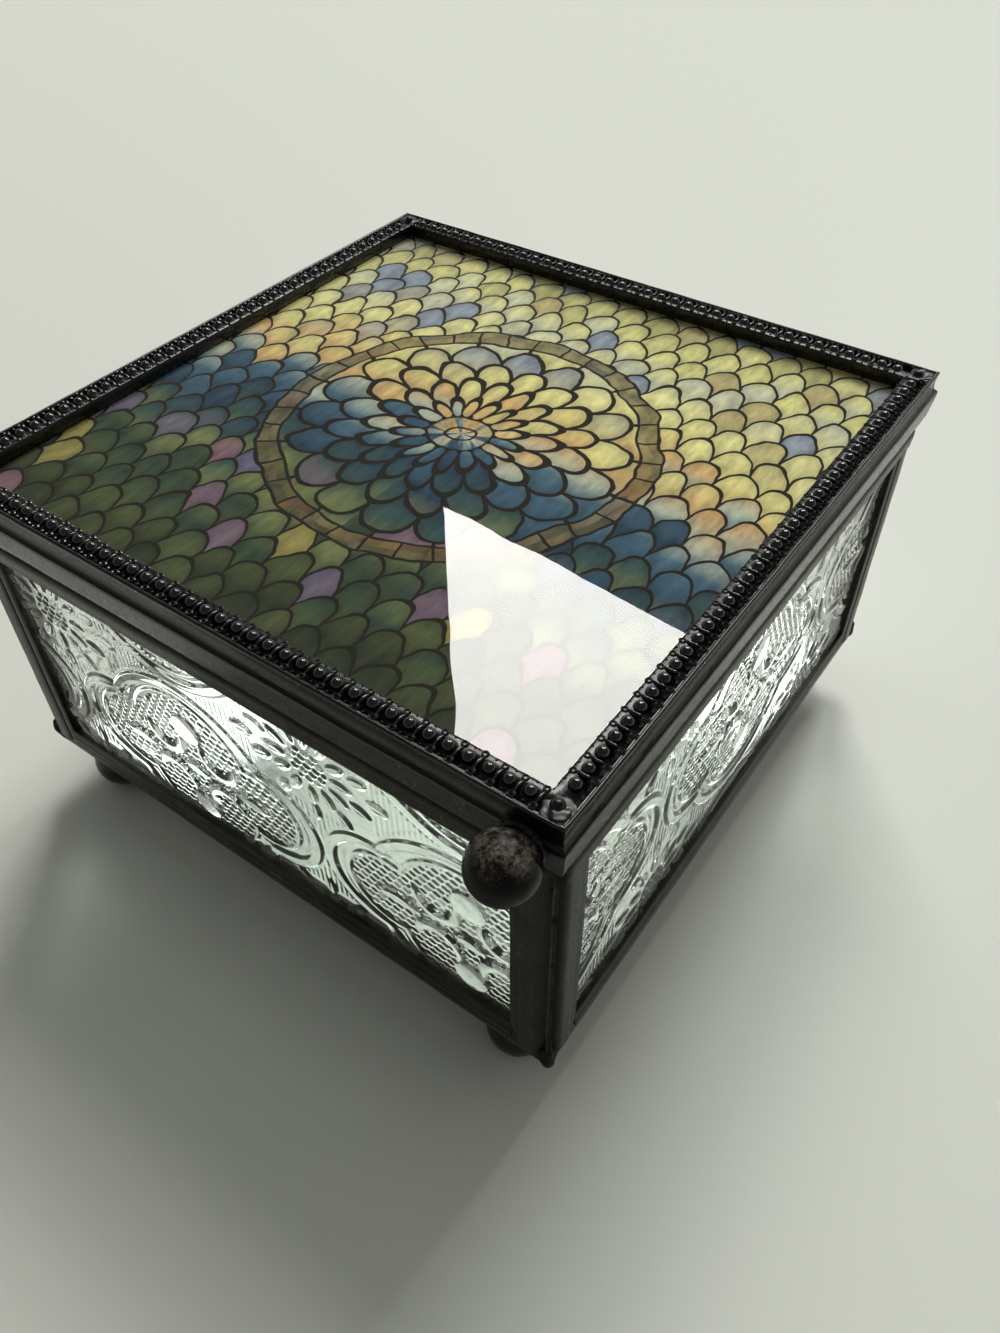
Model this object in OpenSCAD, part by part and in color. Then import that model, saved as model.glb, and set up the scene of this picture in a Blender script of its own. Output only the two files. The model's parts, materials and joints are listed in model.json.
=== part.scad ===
// Square keepsake casket. Four pressed-glass panels, each framed in dark patinated U-came, are
// soldered into a box that stands on a mirror base with four ball feet. The lid is a covered
// print in a beaded came frame. It turns on a rod and tube hinge behind the back panel and
// has a ball to lift it by. Millimetres; the front faces -Y and the feet stand on Z = 0.

/* [Body] */
// Width and depth over the faces of the side panels
body_w = 100; // [70:1:160]
// Height of a side panel with its cames
panel_h = 43.4; // [30:0.2:90]
// Thickness of the pressed glass
glass_t = 2.6; // [2:0.1:4]

/* [Panel cames] */
// Height of the top came on the panel's face
top_came_w = 3.7; // [3.2:0.1:6]
// Height of the bottom came on the panel's face
bottom_came_w = 3.2; // [2.8:0.1:6]
// Width of an upright came on the panel's face, from the corner groove
upright_w = 5.3; // [4.6:0.1:8]
// Metal over the glass at a came's flange
came_wall = 0.45; // [0.3:0.05:0.8]
// Metal behind the glass edge in a came's channel
came_back = 0.9; // [0.5:0.1:1.4]
// Width of the thin flange along the glass
flange_w = 1.4; // [0.6:0.1:1.6]
// Height of the rolled edge above the flange
flange_step = 0.2; // [0.1:0.05:0.4]
// Radius of a came's rolled edge
roll_r = 1.5; // [1:0.1:1.8]
// How far the top came stands out past the panel below it
top_proud = 0.3; // [0.1:0.05:0.6]
// Gap round a pane in its channel
pane_gap = 0.05; // [0.02:0.01:0.15]

/* [Base] */
// Thickness of the mirror pane
mirror_t = 1.9; // [1.5:0.1:4]
// Width of the base came, seen from below
base_came_w = 4.2; // [3.4:0.1:7]
// Metal above and below the mirror in the base came
base_wall = 0.35; // [0.25:0.05:0.8]
// How far the base came lies inside the panel faces
base_inset = 0.5; // [0.2:0.1:1.2]

/* [Feet] */
// Diameter of a ball foot
foot_d = 9.5; // [7:0.1:10.8]
// Diameter of the flat that a foot stands on
foot_tip_d = 2.4; // [1:0.1:3]
// Diameter of the solder between a foot and the base came
foot_solder_d = 5.8; // [4.4:0.1:6.6]
// How far a foot is let into its solder
foot_let_in = 0.35; // [0.2:0.05:0.45]
// Distance of a foot's centre from the left or right panel face
foot_in_x = 8.5; // [6:0.5:20]
// Distance of a foot's centre from the front or back panel face
foot_in_y = 5.6; // [5.5:0.1:6.5]

/* [Lid frame] */
// How far the lid stands out past the panel faces on each side
lid_over = 1; // [0.5:0.1:3]
// Height of the lid's flat top above its underside
lid_h = 7.9; // [7.6:0.1:10]
// Gap between the lid and the body
lid_gap = 0.4; // [0.2:0.1:1]
// Width of the lid came, seen from above
lid_came_w = 4.4; // [4.3:0.1:7]
// Height of the smooth band round the lid
band_h = 4.6; // [4:0.1:5]
// How far the band draws in at its foot
band_in = 0.55; // [0.3:0.05:0.8]
// How far the lip lies inside the band's widest line
lip_in = 0.45; // [0.4:0.05:0.6]
// Radius of the lip round the top
lip_r = 0.25; // [0.15:0.05:0.25]
// Depth of the cover glass below the flat top
cover_recess = 1.4; // [0.6:0.1:1.8]

/* [Lid panel] */
// Thickness of the cover glass
cover_t = 2; // [1.5:0.1:2.2]
// Thickness of the printed sheet
print_t = 0.3; // [0.2:0.05:0.5]
// Thickness of the backing pane
backing_t = 2; // [1.5:0.1:2.1]

/* [Beads] */
// Spacing of the large beads
bead_pitch = 2.5; // [2.2:0.1:4]
// Diameter of a large bead
bead_d = 1.7; // [1.2:0.1:1.8]
// Distance of the bead row from the lid's widest line
bead_row = 2.85; // [2.7:0.05:2.9]
// Depth of a bead's centre below the flat top
bead_sink = 0.25; // [0.1:0.05:0.4]
// Length of the bar between two beads
bar_l = 1.7; // [1:0.1:1.8]
// Width of the bar between two beads
bar_w = 0.5; // [0.3:0.05:0.5]
// Diameter of a seed bead in the rows beside the large beads
seed_d = 0.7; // [0.4:0.05:0.75]
// Distance of the outer seed row from the lid's widest line
outer_row = 1.5; // [1.45:0.05:1.55]
// Distance of the inner seed row from the lid's widest line
inner_row = 3.95; // [3.9:0.05:3.95]

/* [Hinge] */
// Diameter of the hinge rod
rod_d = 1.6; // [1.2:0.1:2]
// Running gap between rod and tube
rod_gap = 0.05; // [0.02:0.01:0.1]
// Metal of the hinge tube
tube_wall = 0.35; // [0.25:0.05:0.5]
// Length of the hinge tube
tube_l = 84; // [40:1:88]
// Height of the hinge axis above the lid's underside
axis_h = 1.2; // [1.1:0.1:2]
// Gap between the tube and the lid's band, filled by solder
tube_gap = 0.05; // [0.02:0.01:0.1]
// Length of each leg of the rod, down from its axis
leg_l = 22; // [12:1:26]
// Length of the solder that holds each leg
leg_solder_l = 14; // [6:1:16]
// Length of each patch of solder that holds the tube
tube_solder_l = 16; // [6:1:20]

/* [Lift ball] */
// Diameter of the lift ball
ball_d = 8; // [5:0.5:9]
// Distance of the ball's centre from the lid's right side
ball_in = 5; // [4.5:0.5:40]
// Height of the ball's centre above the lid's underside
ball_h = 3; // [2.5:0.1:5]
// How far the ball is let into the band
ball_let_in = 0.7; // [0.4:0.1:1]

/* [Hidden] */

// Colours
patina = [0.13, 0.12, 0.11];
solder = [0.3, 0.29, 0.27];
clear_glass = [0.8, 0.87, 0.83, 0.5];
silvering = [0.82, 0.84, 0.85];
paper = [0.87, 0.83, 0.6];

// Turns of the four sides about the centre, starting at the front
FRONT = 0;
RIGHT = 90;
BACK = 180;
LEFT = 270;

$fn = 32;
ARC_STEPS = 8;
SEAM_STEPS = 3;
OVER = 1;

// Panel: distances from the centre to a panel's face, its inner plane and its glass
face = body_w / 2;
panel_t = flange_step + 2 * came_wall + glass_t + 2 * pane_gap;
inner = face - panel_t;
slot_front = face - flange_step - came_wall;
slot_back = slot_front - glass_t - 2 * pane_gap;
ramp = flange_step * 2;

// Where the rolled edges of two panels meet, on the mitre through the corner
groove_a = -10;
set_back = roll_r * (1 + cos(groove_a) + sin(groove_a));
groove_in = set_back - roll_r * cos(groove_a);
upright_edge = face - groove_in - upright_w;
slot_end = inner - came_back / 2;

// Foot: its centre above the table, and its whole height
foot_r = foot_d / 2;
foot_up = sqrt(foot_r * foot_r - foot_tip_d * foot_tip_d / 4);
foot_h = foot_r + foot_up - foot_let_in;

// Heights
base_t = mirror_t + 2 * pane_gap + 2 * base_wall;
panel_z = foot_h + base_t;
panel_top = panel_z + panel_h;
lid_z = panel_top + lid_gap;

// Lid
lid_half = face + lid_over;
lid_w = 2 * lid_half;
stack_t = cover_t + print_t + backing_t + 2 * pane_gap;
slot_top = lid_h - cover_recess;
slot_bottom = slot_top - stack_t;
lid_slot_end = lip_in + came_back;
pane_half = lid_half - lid_slot_end - pane_gap;
fillet_n = 3;
mitre_gap = seed_d / 4;

// Hinge
tube_r = rod_d / 2 + rod_gap + tube_wall;
band_slope = band_in / band_h;
axis_y = lid_half - band_in + band_slope * axis_h + tube_gap + tube_r;
axis_z = lid_z + axis_h;
leg_x = face - set_back - rod_d / 2;

// Ball
ball_y = lid_half - ball_let_in + ball_d / 2;

// The object's box is centred on the origin, front to back
front_reach = ball_y + ball_d / 2;
back_reach = axis_y + tube_r;
centre_y = (front_reach - back_reach) / 2;

function arc(x, y, r, a, b, n) =
    [for (i = [0 : n]) [x + r * cos(a + (b - a) * i / n), y + r * sin(a + (b - a) * i / n)]];

// The rolled edge at the right end of a panel whose face lies at distance f, in plan
function roll(f, first) =
    arc(f - set_back, -f + roll_r, roll_r, first, groove_a, round((groove_a - first) / arc_step));
arc_step = (groove_a + 90) / ARC_STEPS;

function flip_x(points) = [for (i = [len(points) - 1 : -1 : 0]) [-points[i][0], points[i][1]]];
// The same corner seen from the next panel: swapped across the mitre
function swap(points) = [for (i = [len(points) - 1 : -1 : 0]) [-points[i][1], -points[i][0]]];

module centred() {
    translate([0, centre_y, 0]) children();
}

// A side's pieces are drawn at the front and turned to their side
module at_side(turn) {
    centred() rotate([0, 0, turn]) children();
}

// A profile of [distance in from the front plane, height] run along the front and turned up
module run_along(length) {
    rotate([90, 0, 90]) linear_extrude(height = length, center = true) children();
}

// Everything between the mitres of one side, in plan
module mitre_wedge(half, z, h) {
    depth = 3 * panel_t;
    translate([0, 0, z]) linear_extrude(height = h)
        polygon([[-half, -half], [half, -half], [half - depth, depth - half],
            [depth - half, depth - half]]);
}

// ---- Side panels ----

module side_glass() {
    bottom = panel_z + came_back + pane_gap;
    top = panel_top - came_back - pane_gap;
    half = slot_end - pane_gap;
    color(clear_glass) translate([-half, -slot_front + pane_gap, bottom])
        cube([2 * half, glass_t, top - bottom]);
}

// Channel section of a level came: face at distance f, height w, channel open upwards
module level_came_section(f, w) {
    edge_r = roll_r * 0.8;
    back_r = came_wall;
    channel = [[-slot_back, w], [-slot_back, came_back], [-slot_front, came_back],
        [-slot_front, w]];
    rim = [[-f + flange_step, w], [-f + flange_step, w - flange_w],
        [-f, w - flange_w - ramp]];
    front_roll = arc(-f + edge_r, edge_r, edge_r, 180, 270, ARC_STEPS);
    back_roll = arc(-inner - back_r, back_r, back_r, 270, 360, fillet_n);
    polygon(concat(rim, front_roll, back_roll, [[-inner, w]], channel));
}

// Outline in plan of a panel whose face lies at distance f
module panel_plan(f) {
    edge = roll(f, -90);
    polygon(concat(flip_x(edge), edge, [[inner, -inner], [-inner, -inner]]));
}

module level_came(f, w) {
    color(patina) intersection() {
        run_along(2 * f + 2 * OVER) level_came_section(f, w);
        translate([0, 0, -OVER]) linear_extrude(height = w + 2 * OVER) panel_plan(f);
    }
}

module side_bottom_came() {
    translate([0, 0, panel_z]) level_came(face, bottom_came_w);
}

module side_top_came() {
    translate([0, 0, panel_top]) mirror([0, 0, 1]) level_came(face + top_proud, top_came_w);
}

module side_upright_right() {
    rim = [[upright_edge, -face + flange_step], [upright_edge + flange_w, -face + flange_step],
        [upright_edge + flange_w + ramp, -face]];
    channel = [[upright_edge, -slot_back], [slot_end, -slot_back], [slot_end, -slot_front],
        [upright_edge, -slot_front]];
    color(patina) translate([0, 0, panel_z + bottom_came_w])
        linear_extrude(height = panel_h - bottom_came_w - top_came_w)
        polygon(concat(rim, roll(face, -90), [[inner, -inner], [upright_edge, -inner]], channel));
}

module side_upright_left() {
    mirror([1, 0, 0]) side_upright_right();
}

// Solder in the groove between two panels, at the right end of a side
module seam_part(f, z, h) {
    first = groove_a - SEAM_STEPS * arc_step;
    edge = roll(f, first);
    next = swap(edge);
    outline = concat(edge, [for (i = [1 : len(next) - 1]) next[i]]);
    translate([0, 0, z]) linear_extrude(height = h)
        polygon([for (i = [len(outline) - 1 : -1 : 0]) outline[i]]);
}

module corner_seam() {
    color(solder) union() {
        seam_part(face, panel_z, panel_h - top_came_w);
        seam_part(face + top_proud, panel_top - top_came_w, top_came_w);
    }
}

// ---- Base ----

module base_mirror() {
    half = face - base_inset - came_back - pane_gap;
    color(silvering) centred() translate([-half, -half, foot_h + base_wall + pane_gap])
        cube([2 * half, 2 * half, mirror_t]);
}

module base_came() {
    f = face - base_inset;
    edge_r = base_t / 3;
    slot = f - came_back;
    edge = f - base_came_w;
    color(patina) intersection() {
        translate([0, 0, foot_h]) run_along(2 * f + 2 * OVER)
            polygon(concat(
                arc(-f + edge_r, edge_r, edge_r, 180, 270, ARC_STEPS),
                [[-edge, 0], [-edge, base_wall], [-slot, base_wall],
                    [-slot, base_t - base_wall], [-edge, base_t - base_wall], [-edge, base_t]],
                arc(-f + edge_r, base_t - edge_r, edge_r, 90, 180, ARC_STEPS)));
        mitre_wedge(f, foot_h - OVER, base_t + 2 * OVER);
    }
}

// A ball foot with a small flat to stand on and its solder above; x and y say which corner
module foot(x, y) {
    solder_r = foot_solder_d / 2;
    low = -acos(foot_tip_d / foot_d);
    high = acos((solder_r - foot_let_in) / foot_r);
    color(patina) centred() translate([x * (face - foot_in_x), y * (face - foot_in_y), 0])
        rotate_extrude($fn = 48) polygon(concat([[0, 0]],
            arc(0, foot_up, foot_r, low, high, 2 * ARC_STEPS),
            [[solder_r, foot_h], [0, foot_h]]));
}

// ---- Lid ----

// Section of the lid came: outermost line at -lid_half, heights above the lid's underside
module lid_came_section() {
    inside = lid_half - lid_came_w;
    slot = lid_half - lid_slot_end;
    foot_y = -lid_half + band_in;
    crease = lip_r / 2;
    band = [[foot_y + came_wall, 0], [foot_y, came_wall / 2],
        [-lid_half + band_in * 0.4, band_h * 0.5], [-lid_half, band_h],
        [-lid_half + crease, band_h + crease]];
    cove = [[-lid_half + crease, band_h + 3 * crease],
        [-lid_half + lip_in * 0.75, lid_h * 0.84], [-lid_half + lip_in, lid_h - lip_r]];
    lip = arc(-lid_half + lip_in + lip_r, lid_h - lip_r / 2, lip_r, 180, 0, ARC_STEPS);
    polygon(concat([[-inside, 0]], band, cove, lip,
        [[-lid_half + lip_in + 2.4 * lip_r, lid_h], [-inside, lid_h], [-inside, slot_top],
            [-slot, slot_top], [-slot, slot_bottom], [-inside, slot_bottom]]));
}

// How many copies of size d fit between the mitres on a row at distance u
function fit_count(u, d, pitch) = floor(2 * (lid_half - u - d / 2 - mitre_gap) / pitch) + 1;

// A centred row of n copies along the top of the lid came, at distance u from its widest line
module row(u, pitch, n) {
    translate([0, u - lid_half, lid_h])
        for (i = [0 : n - 1]) translate([(i - (n - 1) / 2) * pitch, 0, 0]) children();
}

module lid_came() {
    beads = fit_count(bead_row, bead_d, bead_pitch);
    seed_pitch = bead_pitch / 2;
    color(patina) translate([0, 0, lid_z]) union() {
        intersection() {
            run_along(lid_w + 2 * OVER) lid_came_section();
            mitre_wedge(lid_half, -OVER, lid_h + 2 * OVER);
        }
        row(bead_row, bead_pitch, beads)
            translate([0, 0, -bead_sink]) sphere(d = bead_d, $fn = 20);
        row(bead_row, bead_pitch, beads - 1)
            rotate([90, 0, 0]) cylinder(d = bar_w, h = bar_l, center = true, $fn = 16);
        row(outer_row, seed_pitch, fit_count(outer_row, seed_d, seed_pitch))
            sphere(d = seed_d, $fn = 16);
        row(inner_row, seed_pitch, fit_count(inner_row, seed_d, seed_pitch))
            sphere(d = seed_d, $fn = 16);
    }
}

module lid_pane(bottom, thickness, half) {
    centred() translate([-half, -half, lid_z + bottom]) cube([2 * half, 2 * half, thickness]);
}

module lid_backing() {
    color(clear_glass) lid_pane(slot_bottom + pane_gap, backing_t, pane_half);
}

module lid_print() {
    color(paper) lid_pane(slot_bottom + pane_gap + backing_t, print_t, pane_half);
}

module lid_cover_glass() {
    color(clear_glass) lid_pane(slot_bottom + pane_gap + backing_t + print_t, cover_t, pane_half);
}

// The lift ball, let into the band on the front of the lid
module lift_ball() {
    color(patina) centred() difference() {
        translate([lid_half - ball_in, -ball_y, lid_z + ball_h]) sphere(d = ball_d, $fn = 48);
        translate([0, 0, lid_z]) run_along(lid_w) lid_came_section();
    }
}

// ---- Hinge ----

module along_axis(d, length) {
    translate([0, axis_y, axis_z]) rotate([0, 90, 0]) cylinder(d = d, h = length, center = true);
}

// The half space on one side of the mitre at the rod's right bend: 0 above it, 1 below
module bend_side(below) {
    far = 2 * body_w;
    translate([leg_x, axis_y, axis_z]) rotate([0, -45, 0])
        translate([-far, -rod_d, -far * below]) cube([2 * far, 2 * rod_d, far]);
}

module right_leg() {
    intersection() {
        translate([leg_x, axis_y, axis_z - leg_l]) cylinder(d = rod_d, h = leg_l + rod_d);
        bend_side(1);
    }
}

// The rod turns down at both ends, in a mitre
module hinge_rod() {
    color(patina) centred() union() {
        intersection() {
            along_axis(rod_d, 2 * leg_x + 2 * rod_d);
            bend_side(0);
            mirror([1, 0, 0]) bend_side(0);
        }
        right_leg();
        mirror([1, 0, 0]) right_leg();
    }
}

// Solder between a leg of the rod and the upright that it lies against
module leg_solder() {
    start = axis_z - leg_l;
    depth = axis_y - rod_d / 4 - face;
    difference() {
        translate([leg_x - rod_d / 2, face, start]) cube([rod_d, depth, leg_solder_l]);
        translate([leg_x, axis_y, start - OVER]) cylinder(d = rod_d, h = leg_l);
    }
}

module hinge_rod_solder() {
    color(solder) centred() {
        leg_solder();
        mirror([1, 0, 0]) leg_solder();
    }
}

module hinge_tube() {
    color(patina) centred() difference() {
        along_axis(2 * tube_r, tube_l);
        along_axis(rod_d + 2 * rod_gap, tube_l + 2 * OVER);
    }
}

module tube_patch(x) {
    start = lid_half - lid_slot_end;
    half_h = tube_r * 0.6;
    difference() {
        translate([x - tube_solder_l / 2, start, axis_z - half_h])
            cube([tube_solder_l, axis_y - start, 2 * half_h]);
        along_axis(2 * tube_r, tube_l);
        rotate([0, 0, BACK]) translate([0, 0, lid_z]) run_along(lid_w) lid_came_section();
    }
}

module hinge_tube_solder() {
    color(solder) centred() for (x = [-1, 0, 1]) tube_patch(x * tube_l / 3);
}

// ---- Sub-parts ----

module front_glass() { at_side(FRONT) side_glass(); }
module front_top_came() { at_side(FRONT) side_top_came(); }
module front_bottom_came() { at_side(FRONT) side_bottom_came(); }
module front_upright_left() { at_side(FRONT) side_upright_left(); }
module front_upright_right() { at_side(FRONT) side_upright_right(); }
module right_glass() { at_side(RIGHT) side_glass(); }
module right_top_came() { at_side(RIGHT) side_top_came(); }
module right_bottom_came() { at_side(RIGHT) side_bottom_came(); }
module right_upright_left() { at_side(RIGHT) side_upright_left(); }
module right_upright_right() { at_side(RIGHT) side_upright_right(); }
module back_glass() { at_side(BACK) side_glass(); }
module back_top_came() { at_side(BACK) side_top_came(); }
module back_bottom_came() { at_side(BACK) side_bottom_came(); }
module back_upright_left() { at_side(BACK) side_upright_left(); }
module back_upright_right() { at_side(BACK) side_upright_right(); }
module left_glass() { at_side(LEFT) side_glass(); }
module left_top_came() { at_side(LEFT) side_top_came(); }
module left_bottom_came() { at_side(LEFT) side_bottom_came(); }
module left_upright_left() { at_side(LEFT) side_upright_left(); }
module left_upright_right() { at_side(LEFT) side_upright_right(); }
module corner_seam_front_right() { at_side(FRONT) corner_seam(); }
module corner_seam_back_right() { at_side(RIGHT) corner_seam(); }
module corner_seam_back_left() { at_side(BACK) corner_seam(); }
module corner_seam_front_left() { at_side(LEFT) corner_seam(); }
module base_came_front() { at_side(FRONT) base_came(); }
module base_came_right() { at_side(RIGHT) base_came(); }
module base_came_back() { at_side(BACK) base_came(); }
module base_came_left() { at_side(LEFT) base_came(); }
module foot_front_left() { foot(-1, -1); }
module foot_front_right() { foot(1, -1); }
module foot_back_left() { foot(-1, 1); }
module foot_back_right() { foot(1, 1); }
module lid_came_front() { at_side(FRONT) lid_came(); }
module lid_came_right() { at_side(RIGHT) lid_came(); }
module lid_came_back() { at_side(BACK) lid_came(); }
module lid_came_left() { at_side(LEFT) lid_came(); }

front_glass();
front_top_came();
front_bottom_came();
front_upright_left();
front_upright_right();
right_glass();
right_top_came();
right_bottom_came();
right_upright_left();
right_upright_right();
back_glass();
back_top_came();
back_bottom_came();
back_upright_left();
back_upright_right();
left_glass();
left_top_came();
left_bottom_came();
left_upright_left();
left_upright_right();
corner_seam_front_right();
corner_seam_back_right();
corner_seam_back_left();
corner_seam_front_left();
base_mirror();
base_came_front();
base_came_right();
base_came_back();
base_came_left();
foot_front_left();
foot_front_right();
foot_back_left();
foot_back_right();
lid_came_front();
lid_came_right();
lid_came_back();
lid_came_left();
lid_cover_glass();
lid_print();
lid_backing();
lift_ball();
hinge_rod();
hinge_rod_solder();
hinge_tube();
hinge_tube_solder();
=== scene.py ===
"""Looks for a square glass casket: pressed panes in dark came, a beaded lid and a printed sheet."""

import json
import math
import random

import bmesh
import bpy
import numpy as np
from mathutils import Matrix, Vector, noise as field


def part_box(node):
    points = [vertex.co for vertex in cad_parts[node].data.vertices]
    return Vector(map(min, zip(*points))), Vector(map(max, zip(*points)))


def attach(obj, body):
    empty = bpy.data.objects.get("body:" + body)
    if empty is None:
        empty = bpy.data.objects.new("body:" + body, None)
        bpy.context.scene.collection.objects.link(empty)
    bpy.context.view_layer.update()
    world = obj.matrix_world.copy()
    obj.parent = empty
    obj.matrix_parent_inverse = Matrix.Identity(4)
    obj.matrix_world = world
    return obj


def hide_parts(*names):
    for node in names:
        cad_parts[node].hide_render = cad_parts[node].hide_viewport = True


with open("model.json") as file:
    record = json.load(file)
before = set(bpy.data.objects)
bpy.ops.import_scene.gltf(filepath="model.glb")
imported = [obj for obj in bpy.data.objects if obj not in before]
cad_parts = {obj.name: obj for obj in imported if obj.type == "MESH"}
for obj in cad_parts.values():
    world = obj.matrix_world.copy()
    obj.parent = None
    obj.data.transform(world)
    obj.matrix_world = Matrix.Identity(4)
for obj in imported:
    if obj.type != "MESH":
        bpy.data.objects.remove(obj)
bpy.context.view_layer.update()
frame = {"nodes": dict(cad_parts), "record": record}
MM = 0.001

# ---- Where the CAD puts the box, in millimetres ----
SIDES = ("front", "right", "back", "left")
TURNS = {"front": 0.0, "right": 90.0, "back": 180.0, "left": 270.0}
low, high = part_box("base_mirror")
CENTRE_Y = (low.y + high.y) / 2 / MM
LID_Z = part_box("lid_came_front")[0].z / MM
LID_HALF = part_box("lid_came_front")[1].x / MM
upright_low, upright_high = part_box("front_upright_right")
FACE = CENTRE_Y - upright_low.y / MM
INNER = CENTRE_Y - upright_high.y / MM
UPRIGHT_X = upright_low.x / MM
BASE_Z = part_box("base_came_front")[0].z / MM
PANEL_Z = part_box("front_bottom_came")[0].z / MM
PANEL_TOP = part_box("front_top_came")[1].z / MM
TOP_CAME_W = PANEL_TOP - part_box("front_top_came")[0].z / MM
BOTTOM_CAME_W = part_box("front_bottom_came")[1].z / MM - PANEL_Z
# The camera and the main window were fitted to a base this high above the table
FITTED_BASE_Z = 2
LIFT = (BASE_Z - FITTED_BASE_Z) * MM


def side_matrix(side):
    """Turns a piece drawn in millimetres at the front to its side of the box, in metres."""
    turn = Matrix.Rotation(math.radians(TURNS[side]), 4, "Z")
    return Matrix.Translation((0, CENTRE_Y * MM, 0)) @ turn @ Matrix.Scale(MM, 4)


def shown_piece(shape, name, body, material, matrix, replaced=(), sharp=35.0):
    """Finishes a bmesh as a piece: places it, gives it a material and a body to ride on."""
    bmesh.ops.transform(shape, matrix=matrix, verts=shape.verts)
    bmesh.ops.recalc_face_normals(shape, faces=shape.faces)
    mesh = bpy.data.meshes.new(name)
    shape.to_mesh(mesh)
    shape.free()
    shown_mesh(mesh, name, body, material, replaced, sharp)


def shown_mesh(mesh, name, body, material, replaced, sharp):
    """Puts a mesh into the scene as a smooth piece with edges sharp past an angle."""
    piece = bpy.data.objects.new(name, mesh)
    bpy.context.scene.collection.objects.link(piece)
    mesh.polygons.foreach_set("use_smooth", [True] * len(mesh.polygons))
    mesh.set_sharp_from_angle(angle=math.radians(sharp))
    mesh.materials.append(material)
    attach(piece, body)
    if replaced:
        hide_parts(*replaced)


# ---- Materials ----

def new_material(name, **settings):
    """A material whose Principled shader has these constants set on its own sockets."""
    material = bpy.data.materials.new(name)
    material.use_nodes = True
    shader = material.node_tree.nodes["Principled BSDF"]
    for socket, value in settings.items():
        shader.inputs[socket.replace("_", " ")].default_value = value
    return material, material.node_tree, shader


def object_place(tree, scale=(1, 1, 1), shift=(0, 0, 0)):
    """Object coordinates, scaled and shifted."""
    place = tree.nodes.new("ShaderNodeTexCoord")
    mapping = tree.nodes.new("ShaderNodeMapping")
    mapping.inputs["Scale"].default_value = scale
    mapping.inputs["Location"].default_value = shift
    tree.links.new(place.outputs["Object"], mapping.inputs["Vector"])
    return mapping.outputs["Vector"]


def box_place(tree):
    """Object coordinates in millimetres, from the middle of the box in plan."""
    return object_place(tree, (1000, 1000, 1000), (0, -CENTRE_Y, 0))


def axes(tree, vector):
    """A vector's X, Y and Z."""
    node = tree.nodes.new("ShaderNodeSeparateXYZ")
    tree.links.new(vector, node.inputs["Vector"])
    return node.outputs


def noise(tree, place, scale, detail=4.0, roughness=0.6, output="Fac"):
    """A cloudy pattern, 0 to 1 or in colours."""
    node = tree.nodes.new("ShaderNodeTexNoise")
    node.inputs["Scale"].default_value = scale
    node.inputs["Detail"].default_value = detail
    node.inputs["Roughness"].default_value = roughness
    tree.links.new(place, node.inputs["Vector"])
    return node.outputs[output]


def ramp(tree, value, stops):
    """A colour ramp: stops are (position, colour)."""
    node = tree.nodes.new("ShaderNodeValToRGB")
    row = node.color_ramp
    while len(row.elements) < len(stops):
        row.elements.new(0.5)
    for element, (position, colour) in zip(row.elements, stops):
        element.position = position
        element.color = (*colour, 1.0)
    tree.links.new(value, node.inputs["Fac"])
    return node.outputs["Color"]


def spread(tree, value, low_in, high_in, low_out, high_out):
    """A value moved from one range to another and held within it."""
    node = tree.nodes.new("ShaderNodeMapRange")
    for socket, number in zip(("From Min", "From Max", "To Min", "To Max"),
                              (low_in, high_in, low_out, high_out)):
        node.inputs[socket].default_value = number
    tree.links.new(value, node.inputs["Value"])
    return node.outputs["Result"]


def sums(tree, operation, *values):
    """One step of arithmetic on sockets and numbers."""
    node = tree.nodes.new("ShaderNodeMath")
    node.operation = operation
    for socket, value in zip(node.inputs, values):
        if isinstance(value, (int, float)):
            socket.default_value = value
        else:
            tree.links.new(value, socket)
    return node.outputs[0]


def apart(tree, first, second):
    """How far apart two numbers are."""
    return sums(tree, "ABSOLUTE", sums(tree, "SUBTRACT", first, second))


def from_middle(tree, across, up):
    """How far a point is from 0, 0."""
    return sums(tree, "SQRT", sums(tree, "ADD", sums(tree, "POWER", across, 2.0),
                                   sums(tree, "POWER", up, 2.0)))


def between(tree, factor, first, second):
    """The first number where the factor is 0 and the second where it is 1."""
    gap = sums(tree, "SUBTRACT", second, first)
    return sums(tree, "MULTIPLY_ADD", gap, factor, first)


def mixed(tree, factor, first, second, way="MIX"):
    """Two colours mixed by a factor."""
    node = tree.nodes.new("ShaderNodeMix")
    node.data_type = "RGBA"
    node.blend_type = way
    for socket, value in ((node.inputs[0], factor), (node.inputs[6], first), (node.inputs[7], second)):
        if isinstance(value, tuple):
            socket.default_value = (*value, 1.0)
        elif isinstance(value, float):
            socket.default_value = value
        else:
            tree.links.new(value, socket)
    return node.outputs[2]


def bump(tree, height, shader, strength, distance):
    """Fine relief in the shading only."""
    node = tree.nodes.new("ShaderNodeBump")
    node.inputs["Strength"].default_value = strength
    node.inputs["Distance"].default_value = distance
    tree.links.new(height, node.inputs["Height"])
    tree.links.new(node.outputs["Normal"], shader.inputs["Normal"])


def seen(red, green, blue):
    """A colour as it is seen, 0 to 255, turned to the shader's scale."""
    return tuple(((part / 255 + 0.055) / 1.055) ** 2.4 for part in (red, green, blue))


# How far past a mitre the painted shade in the grooves stays full and where it ends, in millimetres
GROOVE_SHADE_FULL = 1.0
GROOVE_SHADE_END = 2.9


def groove_painted_shade(tree):
    """Where shade is painted: close to 1 down the grooves at the upright corners and 0 past their rolled
    edges.
    """
    spot = axes(tree, box_place(tree))
    off = apart(tree, sums(tree, "ABSOLUTE", spot["X"]), sums(tree, "ABSOLUTE", spot["Y"]))
    return spread(tree, off, GROOVE_SHADE_FULL, GROOVE_SHADE_END, 0.95, 0.0)


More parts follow.
